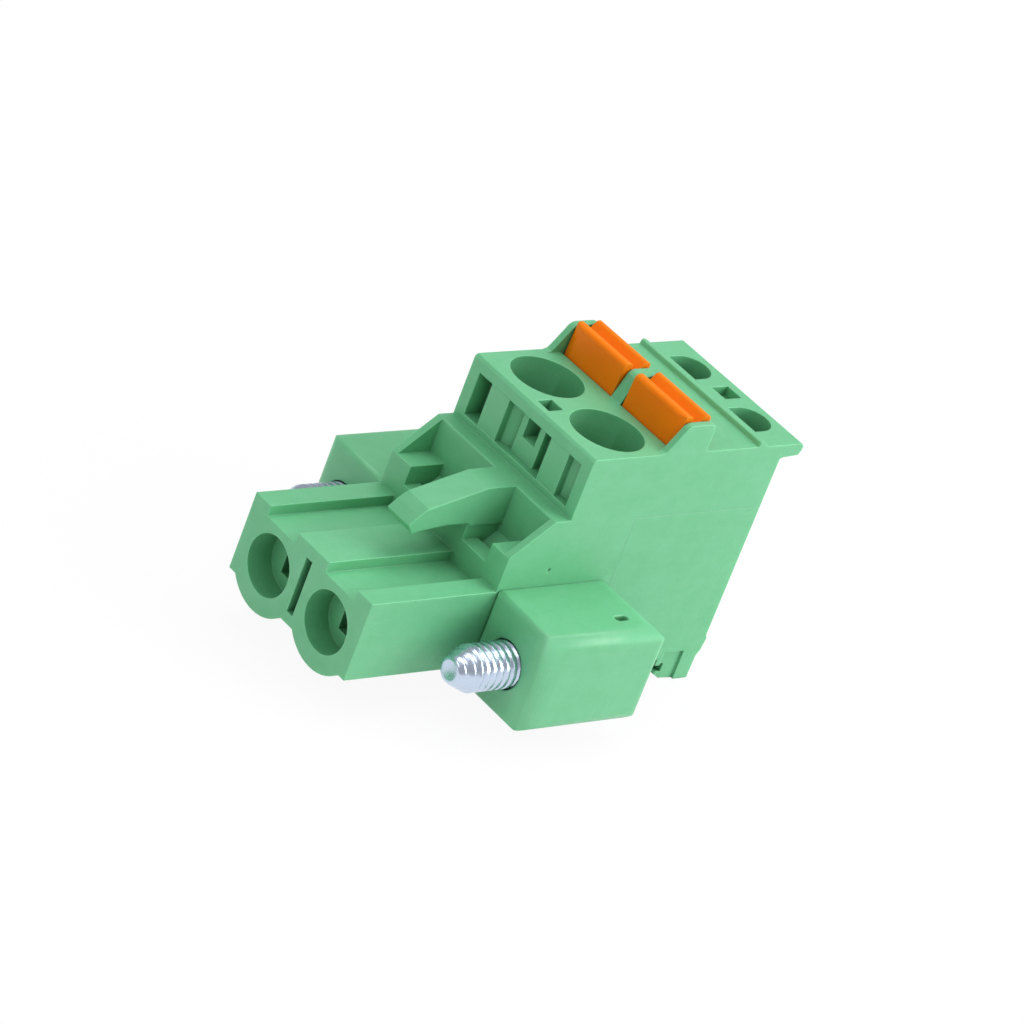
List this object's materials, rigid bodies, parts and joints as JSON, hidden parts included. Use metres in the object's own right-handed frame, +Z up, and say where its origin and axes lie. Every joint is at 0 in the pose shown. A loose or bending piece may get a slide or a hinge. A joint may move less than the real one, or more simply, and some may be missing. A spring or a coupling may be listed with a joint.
{
  "type": "pluggable terminal block",
  "caption": "Right-angle pluggable terminal block with round sockets, wire funnels on top, orange push levers, a latch hook and screw flanges.",
  "frame": {"origin": "middle of the mating face at the height of the socket axes", "axes": "+X from the mating face back into the plug, +Y across the poles, +Z up, against the wires' way in"},
  "size_m": [0.0264, 0.0198, 0.0165],
  "materials": {
    "green_moulding": "moulded polyamide, satin",
    "orange_moulding": "moulded polyamide, satin",
    "zinc_steel": "blue-white zinc plating",
    "tinned_copper": "tin plated copper alloy",
    "spring_steel": "bright rolled spring steel"
  },
  "bodies": {
    "plug": {"housing": "green_moulding", "rear_cover": "green_moulding", "flange_1": "green_moulding", "flange_2": "green_moulding", "contact_1": "tinned_copper", "contact_2": "tinned_copper", "overspring_1": "spring_steel", "overspring_2": "spring_steel", "clamp_spring_1": "spring_steel", "clamp_spring_2": "spring_steel"},
    "lever_1": {"lever_1": "orange_moulding"},
    "lever_2": {"lever_2": "orange_moulding"},
    "flange_screw_1": {"flange_screw_1": "zinc_steel"},
    "flange_screw_2": {"flange_screw_2": "zinc_steel"}
  },
  "joints": [
    {"name": "lever_1_press", "type": "slide", "parent": "plug", "child": "lever_1", "axis": [0, 0, -1], "range_m": [0, 0.0013], "stiffness_N_per_m": 1500, "springref_m": -0.0003, "deforming": ["clamp_spring_1"]},
    {"name": "flange_screw_1_turn", "type": "hinge", "parent": "plug", "child": "flange_screw_1", "pos_m": [0.01, -0.00728, -0.00012], "axis": [1, 0, 0], "continuous": true},
    {"name": "lever_2_press", "type": "slide", "parent": "plug", "child": "lever_2", "axis": [0, 0, -1], "range_m": [0, 0.0013], "stiffness_N_per_m": 1500, "springref_m": -0.0003, "deforming": ["clamp_spring_2"]},
    {"name": "flange_screw_2_turn", "type": "hinge", "parent": "plug", "child": "flange_screw_2", "pos_m": [0.01, 0.00728, -0.00012], "axis": [1, 0, 0], "continuous": true}
  ]
}
